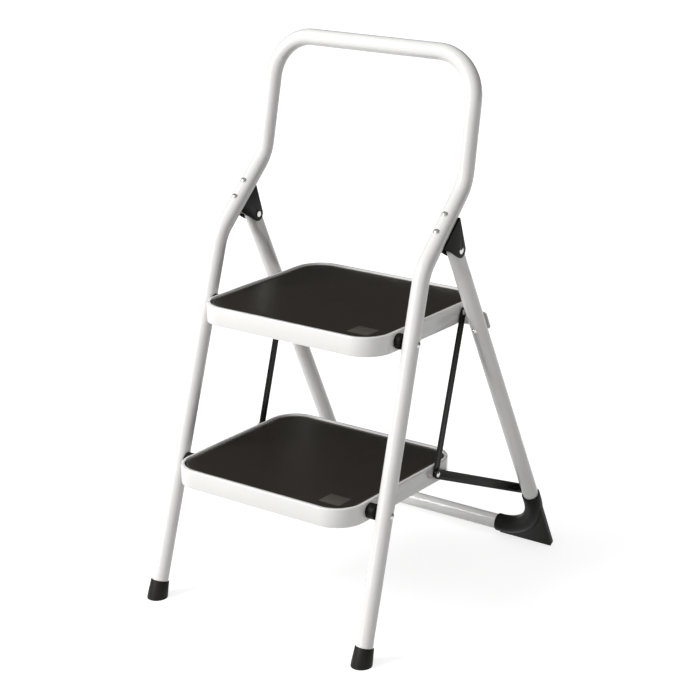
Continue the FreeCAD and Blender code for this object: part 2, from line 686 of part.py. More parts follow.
def make_squeezed_end(body, side, word):
    """Top of a rear leg: the round tube drawn into a flat-sided one that fits the bracket."""
    tilt = f"(-{side} * atan({REAR_FLARE}))"

    def section(name, drop, wall):
        across = f"({side} * {rear_half_span(drop)})"
        round_end = drop == d("squeeze_start")
        behind = "0" if round_end else "(-(dims.squeeze_depth - dims.squeeze_width) / 2)"
        sketch = sketch_on(body, f"{word}_{name}", "XY_Plane", (across, behind, f"(-{drop})"), Y_AXIS, tilt)
        if round_end:
            return circle(sketch, "0", "0", f"({TUBE_RADIUS} - {wall})")
        width = f"(dims.squeeze_width - 2 * {wall})"
        return link_outline(sketch, width, "(dims.squeeze_depth - dims.squeeze_width)")

    for kind, name, wall in (("Additive", "end", "0"), ("Subtractive", "bore", d("tube_wall"))):
        loft = body.newObject(f"PartDesign::{kind}Loft", f"{word}_{name}_taper")
        loft.Profile = section(f"{name}_round", d("squeeze_start"), wall)
        flat = section(f"{name}_flat", d("squeeze_end"), wall)
        loft.Sections = [flat]
        loft.Ruled = True
        length = "(dims.squeeze_end + dims.leg_top)"
        if kind == "Additive":
            pad(body, f"{word}_{name}_top", flat, length)
        else:
            pocket(body, f"{word}_{name}_top", flat, length, reverse=True)


def make_corner_foot(side):
    """Moulded corner foot: a sleeve round the tube's bend with a flat gusset out to the corner."""
    body = place_on_rear_frame(new_body(f"rear_corner_foot_{SIDE_NAMES[side]}"))
    corner_span = rear_half_span(BAR_DROP)
    top_drop = f"({BAR_DROP} - dims.sleeve_rise)"
    top_span = rear_half_span(top_drop)
    bend = d("rear_bend_radius")

    def out(formula):
        return f"({side} * {formula})"

    route = sketch_on(body, "sleeve_route", "XZ_Plane")
    trace(route, [
        (out(top_span), f"(-{top_drop})", None),
        (out(corner_span), f"(-{BAR_DROP})", bend),
        (out(d("sleeve_bar_end")), f"(-{BAR_DROP})", None),
    ], closed=False)
    sweep(body, "AdditivePipe", "sleeve", route, (f"({TUBE_RADIUS} + dims.sleeve_wall)",))
    sole = f"({REAR_LENGTH} + dims.gusset_thick / 2 * tan({REAR_LEAN}))"
    gusset = sketch_on(body, "gusset_outline", "XZ_Plane")
    trace(gusset, [
        (out(f"({top_span} + {TUBE_RADIUS} + dims.sleeve_wall / 2)"), f"(-{top_drop})", None),
        (out(f"({corner_span} + dims.gusset_reach)"), f"(-{sole})", d("gusset_corner")),
        (out(d("sleeve_bar_end")), f"(-{sole})", None),
        (out(d("sleeve_bar_end")), f"(-{BAR_DROP})", None),
        (out(corner_span), f"(-{BAR_DROP})", bend),
        (out(top_span), f"(-{top_drop})", None),
    ])
    pad(body, "gusset", gusset, d("gusset_thick"), symmetric=True)
    sweep(body, "SubtractivePipe", "bore", route, (f"({TUBE_RADIUS} + dims.sleeve_gap)",))
    cut_at_floor(body, f"(-{REAR_LEAN})", HINGE_Z)
    return body


def make_rest_bar():
    """Flat strip across the rear faces of the rear legs, under the upper step."""
    body = place_on_rear_frame(new_body("rest_bar"))
    outline = sketch_on(body, "strip_outline", "XZ_Plane", ("0", "0", f"(-{REST_BACK})"))
    half_length = f"({rear_half_span(REST_DROP)} + dims.rest_overhang)"
    high = f"(-{REST_TOP_DROP})"
    low = f"(-{REST_TOP_DROP} - dims.rest_height)"
    trace(outline, [
        (half_length, low, d("rest_corner")), (half_length, high, d("rest_corner")),
        (f"(-{half_length})", high, d("rest_corner")), (f"(-{half_length})", low, d("rest_corner")),
    ])
    pad(body, "strip", outline, d("rest_thick"), reverse=True)
    holes = sketch_on(body, "strip_holes_outline", "XZ_Plane")
    for sign in ("", "-"):
        circle(holes, f"({sign}{rear_half_span(REST_DROP)})", f"(-{REST_DROP})", RIVET_HOLE)
    pocket(body, "strip_holes", holes, "(2 * dims.tube_dia)", symmetric=True)
    return body


def make_rest_rivets():
    """Two rivets that hold the rest bar, one through each rear leg."""
    body = place_on_rear_frame(new_body("rest_bar_rivets"))
    grip = "(dims.tube_dia + dims.rest_thick + 3 * dims.seat_gap)"
    seat = f"(-{TUBE_RADIUS} - dims.seat_gap)"
    for name, side in (("right_rivet", RIGHT), ("left_rivet", LEFT)):
        across = f"({side} * {rear_half_span(REST_DROP)})"
        front_rivet(body, name, across, seat, f"(-{REST_DROP})", grip)
    return body


def make_brace_stud(side):
    """Stud on the inner side of a rear leg, where the brace's slotted end lies."""
    body = new_body(f"brace_stud_{SIDE_NAMES[side]}")
    place_on_rear_frame(body)
    leg = rear_half_span(STUD_DROP)
    collar_out = f"({leg} - {TUBE_RADIUS} - dims.tube_seat_gap)"
    collar_in = f"({BRACE_FACE} + dims.link_thick + dims.link_gap)"
    collar = sketch_on(body, "collar_outline", "YZ_Plane", ("0", "0", f"({side} * {collar_in})"))
    circle(collar, "0", f"(-{STUD_DROP})", "(dims.stud_dia / 2)")
    pad(body, "collar", collar, f"({collar_out} - {collar_in})", reverse=side == LEFT)
    shank = sketch_on(body, "shank_outline", "YZ_Plane", ("0", "0", f"({side} * {collar_in})"))
    circle(shank, "0", f"(-{STUD_DROP})", "(dims.stud_shank_dia / 2)")
    shank_length = f"({collar_out} - {collar_in} + dims.stud_shank_length)"
    pad(body, "shank", shank, shank_length, reverse=side == LEFT)
    return body


def step_outline(sketch, inset):
    """Rounded rectangle of the step's edge, drawn in by an inset."""
    across = f"(dims.pan_half_width - {inset})"
    front = f"(-(dims.pan_front - {inset}))"
    back = f"(dims.pan_back - {inset})"
    radius = f"(dims.pan_corner - {inset})"
    trace(sketch, [
        (across, front, radius), (across, back, radius),
        (f"(-{across})", back, radius), (f"(-{across})", front, radius),
    ])
    return sketch


def place_on_step(body, height, across="0"):
    """Stand a body at a step's front pivot."""
    return place(body, across, standing_back(leg_back(height)), height)


def make_pan(label, height, notched):
    """Pressed steel step: raised rim, sunk deck, side walls with a hem turned in below."""
    body = place_on_step(new_body(label), height)
    bottom = "(dims.pan_top - dims.pan_height)"
    base = step_outline(sketch_on(body, "edge_outline", "XY_Plane", ("0", "0", bottom)), "0")
    block = pad(body, "pressing", base, d("pan_height"))
    doc.recompute()
    top = number("dims.pan_top")
    face = next(
        i for i, item in enumerate(block.Shape.Faces, start=1)
        if item.BoundBox.ZLength < 1e-6 and abs(item.BoundBox.ZMax - top) < 1e-6
    )
    edge = body.newObject("PartDesign::Fillet", "rim_edge")
    edge.Base = (block, [f"Face{face}"])
    edge.Radius = number("dims.pan_edge")
    edge.setExpression("Radius", "dims.pan_edge")
    recess = sketch_on(body, "recess_outline", "XY_Plane", ("0", "0", d("pan_top")))
    pocket(body, "recess", step_outline(recess, d("rim_width")), d("recess_depth"))
    deck = "(dims.pan_top - dims.recess_depth - dims.pan_sheet)"
    hollow = sketch_on(body, "hollow_outline", "XY_Plane", ("0", "0", deck))
    hem_top = f"({bottom} + dims.pan_sheet)"
    pocket(body, "hollow", step_outline(hollow, d("pan_sheet")), f"({deck} - {hem_top})")
    mouth = sketch_on(body, "mouth_outline", "XY_Plane", ("0", "0", hem_top))
    pocket(body, "mouth", step_outline(mouth, d("pan_hem")), "(2 * dims.pan_sheet)")
    if notched:
        notch = sketch_on(body, "notch_outline", "YZ_Plane")
        low = f"({bottom} - dims.pan_sheet)"
        past = "(dims.pan_back + dims.pan_sheet)"
        trace(notch, [
            (NOTCH_NEAR, low, None), (past, low, None),
            (past, d("notch_up"), None), (NOTCH_NEAR, d("notch_up"), None),
        ])
        pocket(body, "notch", notch, THROUGH, symmetric=True)
    holes = sketch_on(body, "rivet_holes_outline", "YZ_Plane")
    circle(holes, "0", "0", RIVET_HOLE)
    circle(holes, LINK_BACK, d("link_up"), RIVET_HOLE)
    pocket(body, "rivet_holes", holes, THROUGH, symmetric=True)
    return body


def make_mat(label, height):
    """Rubber mat sunk in a step, with a thin raised bead near its edge."""
    body = place_on_step(new_body(label), height)
    floor = "(dims.pan_top - dims.recess_depth)"
    sheet = sketch_on(body, "mat_outline", "XY_Plane", ("0", "0", floor))
    pad(body, "sheet", step_outline(sheet, "(dims.rim_width + dims.mat_gap)"), d("mat_thick"))
    bead = sketch_on(body, "bead_outline", "XY_Plane", ("0", "0", f"({floor} + dims.mat_thick)"))
    step_outline(bead, "(dims.rim_width + dims.mat_gap + dims.bead_inset)")
    step_outline(bead, "(dims.rim_width + dims.mat_gap + dims.bead_inset + dims.bead_width)")
    pad(body, "bead", bead, d("bead_height"))
    return body


def make_ring(label, side, inner_face, outer_face, diameter, back, up):
    """Round spacer on a rivet, between two faces across the stool."""
    body = new_body(label)
    place(body, f"({side} * {inner_face})", standing_back(back), up)
    outline = sketch_on(body, "ring_outline", "YZ_Plane")
    circle(outline, "0", "0", f"({diameter} / 2)")
    circle(outline, "0", "0", RIVET_HOLE)
    pad(body, "ring", outline, f"({outer_face} - {inner_face})", reverse=side == LEFT)
    return body


def link_outline(sketch, width, length):
    """Flat bar with rounded ends, along the sketch's upward axis."""
    half = f"({width} / 2)"
    radius = number(half)
    far = number(length)
    right = sketch.addGeometry(Part.LineSegment(Vector(radius, 0, 0), Vector(radius, far, 0)))
    top = sketch.addGeometry(
        arc_between(Vector(0, far, 0), radius, Vector(radius, far, 0), Vector(-radius, far, 0)))
    left = sketch.addGeometry(Part.LineSegment(Vector(-radius, far, 0), Vector(-radius, 0, 0)))
    bottom = sketch.addGeometry(
        arc_between(Vector(), radius, Vector(-radius, 0, 0), Vector(radius, 0, 0)))
    for first, first_end, second, second_end in (
        (right, 2, top, 1), (top, 2, left, 1), (left, 2, bottom, 1), (bottom, 2, right, 1),
    ):
        sketch.addConstraint(Sketcher.Constraint("Tangent", first, first_end, second, second_end))
    sketch.addConstraint(Sketcher.Constraint("Coincident", bottom, 3, -1, 1))
    bind_radius(sketch, bottom, half)
    bind_point(sketch, top, 3, "0", length)
    return sketch


def make_side_link(side):
    """Flat bar from the upper step's rear rivet down to the lower step's."""
    body = new_body(f"side_link_{SIDE_NAMES[side]}")
    place(body, f"({side} * {SIDE_LINK_FACE})", standing_back(BRACE_PIN_Y), BRACE_PIN_Z,
          X_AXIS, f"(-{LEAN})")
    length = f"(dims.step_rise / cos({LEAN}))"
    outline = link_outline(sketch_on(body, "bar_outline", "YZ_Plane"), d("side_link_width"), length)
    pad(body, "bar", outline, d("link_thick"), reverse=side == LEFT)
    holes = sketch_on(body, "holes_outline", "YZ_Plane")
    circle(holes, "0", "0", RIVET_HOLE)
    circle(holes, "0", length, RIVET_HOLE)
    pocket(body, "holes", holes, THROUGH, symmetric=True)
    return body


def make_brace_link(side):
    """Flat bar from the lower step's rear rivet back to the rear leg, slotted at that end."""
    body = new_body(f"brace_link_{SIDE_NAMES[side]}")
    place(body, f"({side} * {BRACE_FACE})", standing_back(BRACE_PIN_Y), BRACE_PIN_Z,
          X_AXIS, f"({BRACE_DIP} - 90 deg)")
    length = f"({BRACE_LENGTH} + dims.brace_slot)"
    outline = link_outline(sketch_on(body, "bar_outline", "YZ_Plane"), d("brace_width"), length)
    pad(body, "bar", outline, d("link_thick"), reverse=side == LEFT)
    hole = sketch_on(body, "hole_outline", "YZ_Plane")
    circle(hole, "0", "0", RIVET_HOLE)
    pocket(body, "hole", hole, THROUGH, symmetric=True)
    slot = sketch_on(body, "slot_outline", "YZ_Plane", ("0", BRACE_LENGTH, "0"))
    link_outline(slot, f"(2 * {RIVET_HOLE})", d("brace_slot"))
    pocket(body, "slot", slot, THROUGH, symmetric=True)
    return body


def make_step(prefix, height, notched):
    """One step with its mat, front pivots and rear rivets on both sides."""
    make_pan(f"{prefix}_step_pan", height, notched)
    make_mat(f"{prefix}_step_mat", height)
    leg_span = front_half_span(height)
    front_back = leg_back(height)
    rear_back = f"({front_back} + {LINK_BACK})"
    rear_up = f"({height} + dims.link_up)"
    tail_face = "(dims.pan_half_width - dims.pan_sheet - dims.seat_gap)"
    if prefix == "upper":
        link_outer = f"({SIDE_LINK_FACE} + dims.link_thick + dims.seat_gap)"
    else:
        link_outer = f"({BRACE_FACE} + dims.link_thick + dims.seat_gap)"
    for side, word in SIDE_NAMES.items():
        make_ring(f"{prefix}_pivot_spacer_{word}", side, "(dims.pan_half_width + dims.link_gap)",
                  f"({leg_span} - {TUBE_RADIUS} - dims.tube_seat_gap)",
                  d("pivot_spacer_dia"), front_back, height)
        make_cross_rivet(f"{prefix}_pivot_rivet_{word}", side,
                         f"({leg_span} + {TUBE_RADIUS} + dims.seat_gap)", tail_face,
                         front_back, height, d("rivet_head_dia"), d("rivet_head_height"),
                         d("rivet_tail_height"))
        make_ring(f"{prefix}_link_washer_{word}", side, WASHER_FACE,
                  f"({WASHER_FACE} + dims.link_washer_thick)", d("link_washer_dia"),
                  rear_back, rear_up)
        make_cross_rivet(f"{prefix}_link_rivet_{word}", side, link_outer, tail_face,
                         rear_back, rear_up, d("link_head_dia"), d("link_head_height"),
                         d("rivet_tail_height"))


def build():
    """Make every piece of the stool."""
    fill_sheet()
    make_front_frame()
    make_rear_frame()
    make_rest_bar()
    make_rest_rivets()
    for side in SIDE_NAMES:
        make_front_foot(side)
        make_bracket(side)
        make_bracket_rivets(side)
        make_hinge_pin(side)
        make_corner_foot(side)
        make_brace_stud(side)
        make_side_link(side)
        make_brace_link(side)
    make_step("upper", UPPER_PIVOT, notched=True)
    make_step("lower", LOWER_PIVOT, notched=False)
    doc.recompute()


def check():
    """Stop if any object failed or any piece isn't a sound solid."""
    for item in doc.Objects:
        if {"Invalid", "Error"} & set(item.State):
            raise RuntimeError(f"{item.Name} failed: {item.State}")
    pieces = [item for item in doc.Objects if item.TypeId == "PartDesign::Body"]
    for piece in pieces:
        if piece.Shape.isNull() or not piece.Shape.isValid() or not piece.Shape.Solids:
            raise RuntimeError(f"{piece.Label} isn't a sound solid")
    return pieces


def write(pieces):
    """Write each piece under its own name."""
    os.makedirs("parts", exist_ok=True)
    for piece in pieces:
        piece.Shape.exportStep(f"parts/{piece.Label}.step")
        volume = piece.Shape.Volume / 1000
        print(f"{piece.Label}: {len(piece.Shape.Solids)} solids, {volume:.2f} cm3")


build()
write(check())
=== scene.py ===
"""Looks of a folding two-step stool: finishes, softened edges, tread mats, rubber tips and a plain studio."""
import json
import logging
import math
from collections.abc import Callable
from dataclasses import dataclass
from enum import Enum

import bmesh
import bpy
from mathutils import Matrix, Vector


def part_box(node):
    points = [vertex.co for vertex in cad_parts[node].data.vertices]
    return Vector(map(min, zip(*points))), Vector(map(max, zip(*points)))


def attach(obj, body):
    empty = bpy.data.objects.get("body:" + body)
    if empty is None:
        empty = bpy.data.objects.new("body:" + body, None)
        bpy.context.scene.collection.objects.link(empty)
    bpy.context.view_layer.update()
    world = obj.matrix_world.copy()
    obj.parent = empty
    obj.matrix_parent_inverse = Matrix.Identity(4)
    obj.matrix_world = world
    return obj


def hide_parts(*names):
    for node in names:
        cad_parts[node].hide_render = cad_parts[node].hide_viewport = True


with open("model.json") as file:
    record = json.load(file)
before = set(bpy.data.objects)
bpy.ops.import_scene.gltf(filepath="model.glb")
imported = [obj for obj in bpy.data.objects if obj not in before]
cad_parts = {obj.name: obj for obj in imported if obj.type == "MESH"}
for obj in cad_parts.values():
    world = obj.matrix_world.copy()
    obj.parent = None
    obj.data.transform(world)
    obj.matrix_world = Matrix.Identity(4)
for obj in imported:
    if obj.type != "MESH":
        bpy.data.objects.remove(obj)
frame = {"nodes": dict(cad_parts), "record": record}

LOG = logging.getLogger("stool")
MM = 0.001
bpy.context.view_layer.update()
MERGE_DISTANCE = 0.001 * MM
FLAT_ANGLE = math.radians(0.5)
SHARP_ANGLE = math.radians(40)
EDGE_SEGMENTS = 2
CORNER_SEGMENTS = 16

Colour = tuple[float, float, float]
Range = tuple[float, float]


class Side(Enum):
    """The two sides of the stool, with the sign of their X."""

    RIGHT = 1
    LEFT = -1

    @property
    def word(self) -> str:
        """Side's name as the CAD nodes spell it."""
        return self.name.lower()


class Level(Enum):
    """The two steps."""

    UPPER = "upper"
    LOWER = "lower"


# Shared surface effects, as shader node groups.

def new_group(
    name: str, inputs: dict[str, tuple[str, object]], outputs: dict[str, str],
) -> bpy.types.NodeTree:
    """Make an empty shader node group with named sockets.

    Args:
        name: Name of the group.
        inputs: Socket type and default value of each input.
        outputs: Socket type of each output.

    Returns:
        The group, with its input and output nodes in place.
    """
    group = bpy.data.node_groups.new(name, "ShaderNodeTree")
    for socket, (kind, value) in inputs.items():
        item = group.interface.new_socket(socket, in_out="INPUT", socket_type=kind)
        if value is not None:
            item.default_value = value
    for socket, kind in outputs.items():
        group.interface.new_socket(socket, in_out="OUTPUT", socket_type=kind)
    group.nodes.new("NodeGroupInput").name = "in"
    group.nodes.new("NodeGroupOutput").name = "out"
    return group


def noise(
    tree: bpy.types.NodeTree, vector: bpy.types.NodeSocket, scale: bpy.types.NodeSocket, detail: float,
) -> bpy.types.Node:
    """Add a noise texture to a node tree.

    Args:
        tree: Tree that gets the node.
        vector: Socket with the coordinates.
        scale: Socket with the number of cells per metre.
        detail: How many finer layers it has.

    Returns:
        The noise node.
    """
    node = tree.nodes.new("ShaderNodeTexNoise")
    node.inputs["Detail"].default_value = detail
    tree.links.new(vector, node.inputs["Vector"])
    tree.links.new(scale, node.inputs["Scale"])
    return node


def remap(
    tree: bpy.types.NodeTree, value: bpy.types.NodeSocket, start: Range = (0.0, 1.0), end: Range = (0.0, 1.0),
) -> bpy.types.NodeSocket:
    """Map a value from one range to another and hold it inside the second.

    Args:
        tree: Tree that gets the node.
        value: Socket with the value.
        start: Range that the value comes from.
        end: Range that it goes to.

    Returns:
        The socket with the mapped value.
    """
    node = tree.nodes.new("ShaderNodeMapRange")
    node.inputs["From Min"].default_value, node.inputs["From Max"].default_value = start
    node.inputs["To Min"].default_value, node.inputs["To Max"].default_value = end
    tree.links.new(value, node.inputs["Value"])
    return node.outputs["Result"]


def tone_drift_group(layers: float = 4.0, band: Range = (0.3, 0.7)) -> bpy.types.NodeTree:
    """Group that drifts slowly between two colours.

    Args:
        layers: How many finer layers the drift has.
        band: The part of the noise that is spread from one colour to the other.

    Returns:
        The node group.
    """
    group = new_group(
        "tone_drift",
        {
            "Vector": ("NodeSocketVector", None),
            "Light": ("NodeSocketColor", (1, 1, 1, 1)),
            "Dark": ("NodeSocketColor", (0, 0, 0, 1)),
            "Scale": ("NodeSocketFloat", 12.0),
        },
        {"Color": "NodeSocketColor"},
    )
    source, out = group.nodes["in"], group.nodes["out"]
    cloud = noise(group, source.outputs["Vector"], source.outputs["Scale"], layers)
    mix = group.nodes.new("ShaderNodeMix")
    mix.data_type = "RGBA"
    group.links.new(remap(group, cloud.outputs["Fac"], band), mix.inputs["Factor"])
    group.links.new(source.outputs["Light"], mix.inputs["A"])
    group.links.new(source.outputs["Dark"], mix.inputs["B"])
    group.links.new(mix.outputs["Result"], out.inputs["Color"])
    return group


def fine_relief_group(roundness: float = 0.6, layers: float = 2.0) -> bpy.types.NodeTree:
    """Group with the small relief of a skin: rounded cells under a finer tooth.

    Args:
        roundness: How far the cells melt into each other.
        layers: How many finer layers the tooth has.

    Returns:
        The node group.
    """
    group = new_group(
        "fine_relief",
        {
            "Vector": ("NodeSocketVector", None),
            "Cells": ("NodeSocketFloat", 500.0),
            "Tooth": ("NodeSocketFloat", 2000.0),
            "Tooth Share": ("NodeSocketFloat", 0.3),
        },
        {"Height": "NodeSocketFloat"},
    )
    source, out = group.nodes["in"], group.nodes["out"]
    cells = group.nodes.new("ShaderNodeTexVoronoi")
    cells.feature = "SMOOTH_F1"
    cells.inputs["Smoothness"].default_value = roundness
    group.links.new(source.outputs["Vector"], cells.inputs["Vector"])
    group.links.new(source.outputs["Cells"], cells.inputs["Scale"])
    tooth = noise(group, source.outputs["Vector"], source.outputs["Tooth"], layers)
    mix = group.nodes.new("ShaderNodeMix")
    group.links.new(source.outputs["Tooth Share"], mix.inputs["Factor"])
    group.links.new(cells.outputs["Distance"], mix.inputs["A"])
    group.links.new(tooth.outputs["Fac"], mix.inputs["B"])
    group.links.new(mix.outputs["Result"], out.inputs["Height"])
    return group


def handling_marks_group(layers: float = 6.0, band: Range = (0.5, 0.75)) -> bpy.types.NodeTree:
    """Group with faint stretched rub marks, as a mask for roughness.

    Args:
        layers: How many finer layers the marks have.
        band: The part of the noise that shows as marks.

    Returns:
        The node group.
    """
    group = new_group(
        "handling_marks",
        {"Vector": ("NodeSocketVector", None), "Scale": ("NodeSocketFloat", 40.0)},
        {"Mask": "NodeSocketFloat"},
    )
    source, out = group.nodes["in"], group.nodes["out"]
    stretch = group.nodes.new("ShaderNodeMapping")
    stretch.inputs["Scale"].default_value = (1.0, 0.25, 0.6)
    stretch.inputs["Rotation"].default_value = (0.3, 0.2, 0.5)
    group.links.new(source.outputs["Vector"], stretch.inputs["Vector"])
    rubs = noise(group, stretch.outputs["Vector"], source.outputs["Scale"], layers)
    group.links.new(remap(group, rubs.outputs["Fac"], band), out.inputs["Mask"])
    return group


@dataclass(frozen=True)
class Finish:
    """One surface finish: its colours, its gloss and its fine relief."""

    name: str
    slot: str
    light: Colour
    dark: Colour
    gloss: Range
    cell_size: float
    relief: float
    tooth_share: float = 0.3
    drift_size: float = 80 * MM
    mark_size: float = 25 * MM
    metallic: float = 0.0
    specular: float = 0.5
    coat: float = 0.0
    coat_roughness: float = 0.1
    tooth_per_cell: float = 4.0

    def material(self) -> bpy.types.Material:
        """Build the material once and give it again after that.

        Returns:
            The material of this finish.
        """
        known = bpy.data.materials.get(self.name)
        if known:
            return known
        made = bpy.data.materials.new(self.name)
        made.use_nodes = True
        tree = made.node_tree
        shader = tree.nodes["Principled BSDF"]
        shader.inputs["Metallic"].default_value = self.metallic
        shader.inputs["Specular IOR Level"].default_value = self.specular
        shader.inputs["Coat Weight"].default_value = self.coat
        shader.inputs["Coat Roughness"].default_value = self.coat_roughness
        place = tree.nodes.new("ShaderNodeTexCoord").outputs["Object"]
        drift = self.add_group(tree, "tone_drift", tone_drift_group, place)
        drift.inputs["Light"].default_value = (*self.light, 1)
        drift.inputs["Dark"].default_value = (*self.dark, 1)
        drift.inputs["Scale"].default_value = 1 / self.drift_size
        tree.links.new(drift.outputs["Color"], shader.inputs["Base Color"])
        marks = self.add_group(tree, "handling_marks", handling_marks_group, place)
        marks.inputs["Scale"].default_value = 1 / self.mark_size
        tree.links.new(remap(tree, marks.outputs["Mask"], end=self.gloss), shader.inputs["Roughness"])
        skin = self.add_group(tree, "fine_relief", fine_relief_group, place)
        skin.inputs["Cells"].default_value = 1 / self.cell_size
        skin.inputs["Tooth"].default_value = self.tooth_per_cell / self.cell_size
        skin.inputs["Tooth Share"].default_value = self.tooth_share
        bump = tree.nodes.new("ShaderNodeBump")
        bump.inputs["Distance"].default_value = self.relief
        tree.links.new(skin.outputs["Height"], bump.inputs["Height"])
        tree.links.new(bump.outputs["Normal"], shader.inputs["Normal"])
        return made

    def add_group(
        self, tree: bpy.types.NodeTree, name: str, make: Callable[[], bpy.types.NodeTree],
        vector: bpy.types.NodeSocket,
    ) -> bpy.types.Node:
        """Place a shared group in a material's tree.

        Args:
            tree: The material's node tree.
            name: Name of the group.
            make: Function that builds the group when it doesn't exist yet.
            vector: Socket with the coordinates.

        Returns:
            The group's node.
        """
        node = tree.nodes.new("ShaderNodeGroup")
        node.node_tree = bpy.data.node_groups.get(name) or make()
        tree.links.new(vector, node.inputs["Vector"])
        return node


WHITE_COAT = Finish(
    "white_powder_coat", "white_paint", (0.80, 0.795, 0.775), (0.775, 0.77, 0.75), (0.29, 0.31),
    cell_size=2.4 * MM, relief=0.01 * MM, tooth_share=0.25, coat=0.6, coat_roughness=0.08,
)
BLACK_COAT = Finish(
    "black_powder_coat", "black_paint", (0.010, 0.010, 0.009), (0.007, 0.007, 0.006), (0.40, 0.50),
    cell_size=1.6 * MM, relief=0.02 * MM, specular=0.1, coat=0.05, coat_roughness=0.2,
)
MOULDED_BLACK = Finish(
    "moulded_black_plastic", "black_plastic", (0.0085, 0.0082, 0.0074), (0.0062, 0.006, 0.0054), (0.38, 0.48),
    cell_size=0.7 * MM, relief=0.04 * MM, tooth_share=0.4, drift_size=30 * MM, specular=0.1,
)
TIP_RUBBER = Finish(
    "tip_rubber", "dark_rubber", (0.010, 0.0093, 0.008), (0.007, 0.0065, 0.0057), (0.5, 0.62),
    cell_size=1.0 * MM, relief=0.04 * MM, tooth_share=0.5, drift_size=18 * MM, mark_size=9 * MM,
    specular=0.22,
)
MAT_RUBBER = Finish(
    "tread_mat_rubber", "mat_rubber", (0.0270, 0.0228, 0.0182), (0.0235, 0.0198, 0.0158), (0.38, 0.46),
    cell_size=1.3 * MM, relief=0.09 * MM, tooth_share=0.35, drift_size=120 * MM, mark_size=45 * MM,
    specular=0.12,
)
PATCH_RUBBER = Finish(
    "patch_rubber", "mat_rubber", (0.080, 0.071, 0.060), (0.072, 0.064, 0.054), (0.36, 0.44),
    cell_size=0.8 * MM, relief=0.02 * MM, drift_size=20 * MM, mark_size=12 * MM, specular=0.2,
)
# Lighter colour for the mat's bead: a painted highlight that stands in for the light caught on the bead's
# crest.
BEAD_HIGHLIGHT_PAINT = Finish(
    "worn_bead_rubber", "mat_rubber", (0.115, 0.105, 0.092), (0.085, 0.077, 0.067), (0.50, 0.60),
    cell_size=0.8 * MM, relief=0.02 * MM, drift_size=30 * MM, mark_size=12 * MM, specular=0.2,
)
ZINC = Finish(
    "zinc_plated_steel", "bright_steel", (0.66, 0.66, 0.645), (0.56, 0.56, 0.55), (0.16, 0.30),
    cell_size=0.9 * MM, relief=0.01 * MM, drift_size=6 * MM, mark_size=4 * MM, metallic=1.0,
)


# Mesh helpers.

def as_object(name: str, shape: bmesh.types.BMesh, finish: Finish) -> bpy.types.Object:
    """Turn a finished bmesh into an object with smooth faces and a finish.

    Args:
        name: Name of the piece.
        shape: The bmesh, which is freed.
        finish: Finish of the whole piece.

    Returns:
        The new object, at the origin.
    """
    mesh = bpy.data.meshes.new(name)
    shape.to_mesh(mesh)
    shape.free()
    mesh.materials.append(finish.material())
    mesh.shade_smooth()
    mesh.set_sharp_from_angle(angle=SHARP_ANGLE)
    made = bpy.data.objects.new(name, mesh)
    bpy.context.scene.collection.objects.link(made)
    return made


def dress(node: str, finish: Finish) -> None:
    """Give a CAD node its finish.

    Args:
        node: Name of the node.
        finish: Its finish.
    """
    slots = frame["nodes"][node].data.materials
    slots.clear()
    slots.append(finish.material())
    LOG.info("dressed %s with %s", node, finish.name)


def softened(node: str, finish: Finish, edge: float, angle: float = 30.0) -> bpy.types.Object:
    """Copy a CAD node with its sharp edges rounded off, to stand for it.

    Args:
        node: Name of the node.
        finish: Finish of the copy.
        edge: Width of the rounding, in metres.
        angle: Least angle, in degrees, of an edge that is rounded.

    Returns:
        The copy, which replaces the node.
    """
    shape = bmesh.new()
    shape.from_mesh(frame["nodes"][node].data)
    bmesh.ops.remove_doubles(shape, verts=shape.verts, dist=MERGE_DISTANCE)
    bmesh.ops.dissolve_limit(
        shape, angle_limit=FLAT_ANGLE, verts=shape.verts, edges=shape.edges, delimit={"NORMAL"})
    least = math.radians(angle)
    sharp = [item for item in shape.edges if item.is_manifold and item.calc_face_angle() > least]
    bmesh.ops.bevel(
        shape, geom=sharp, offset=edge, offset_type="OFFSET", segments=EDGE_SEGMENTS, profile=0.5,
        affect="EDGES", clamp_overlap=True, material=-1)
    return replace(as_object(f"{node}_soft", shape, finish), node)


def replace(made: bpy.types.Object, node: str) -> bpy.types.Object:
    """Let a piece stand for a CAD node and ride on that node's body.

    Args:
        made: The piece.
        node: The node that it stands for.

    Returns:
        The same piece.
    """
    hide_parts(node)
    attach(made, body_of(node))
    LOG.info("made %s for %s: %d faces", made.name, node, len(made.data.polygons))
    return made


def body_of(node: str) -> str:
    """Name of the body that carries a node.

    Args:
        node: Name of the node.

    Returns:
        Name of its body.
    """
    groups = frame["record"]["behaviour"]["bodies"]
    return next(body for body, members in groups.items() if node in members)


def joint_spot(name: str) -> Vector:
    """Place of a joint's axis at rest.

    Args:
        name: Name of the joint.

    Returns:
        A point on the axis, in metres.
    """
    joints = frame["record"]["behaviour"]["joints"]
    return Vector(next(item["pos_m"] for item in joints if item["name"] == name))


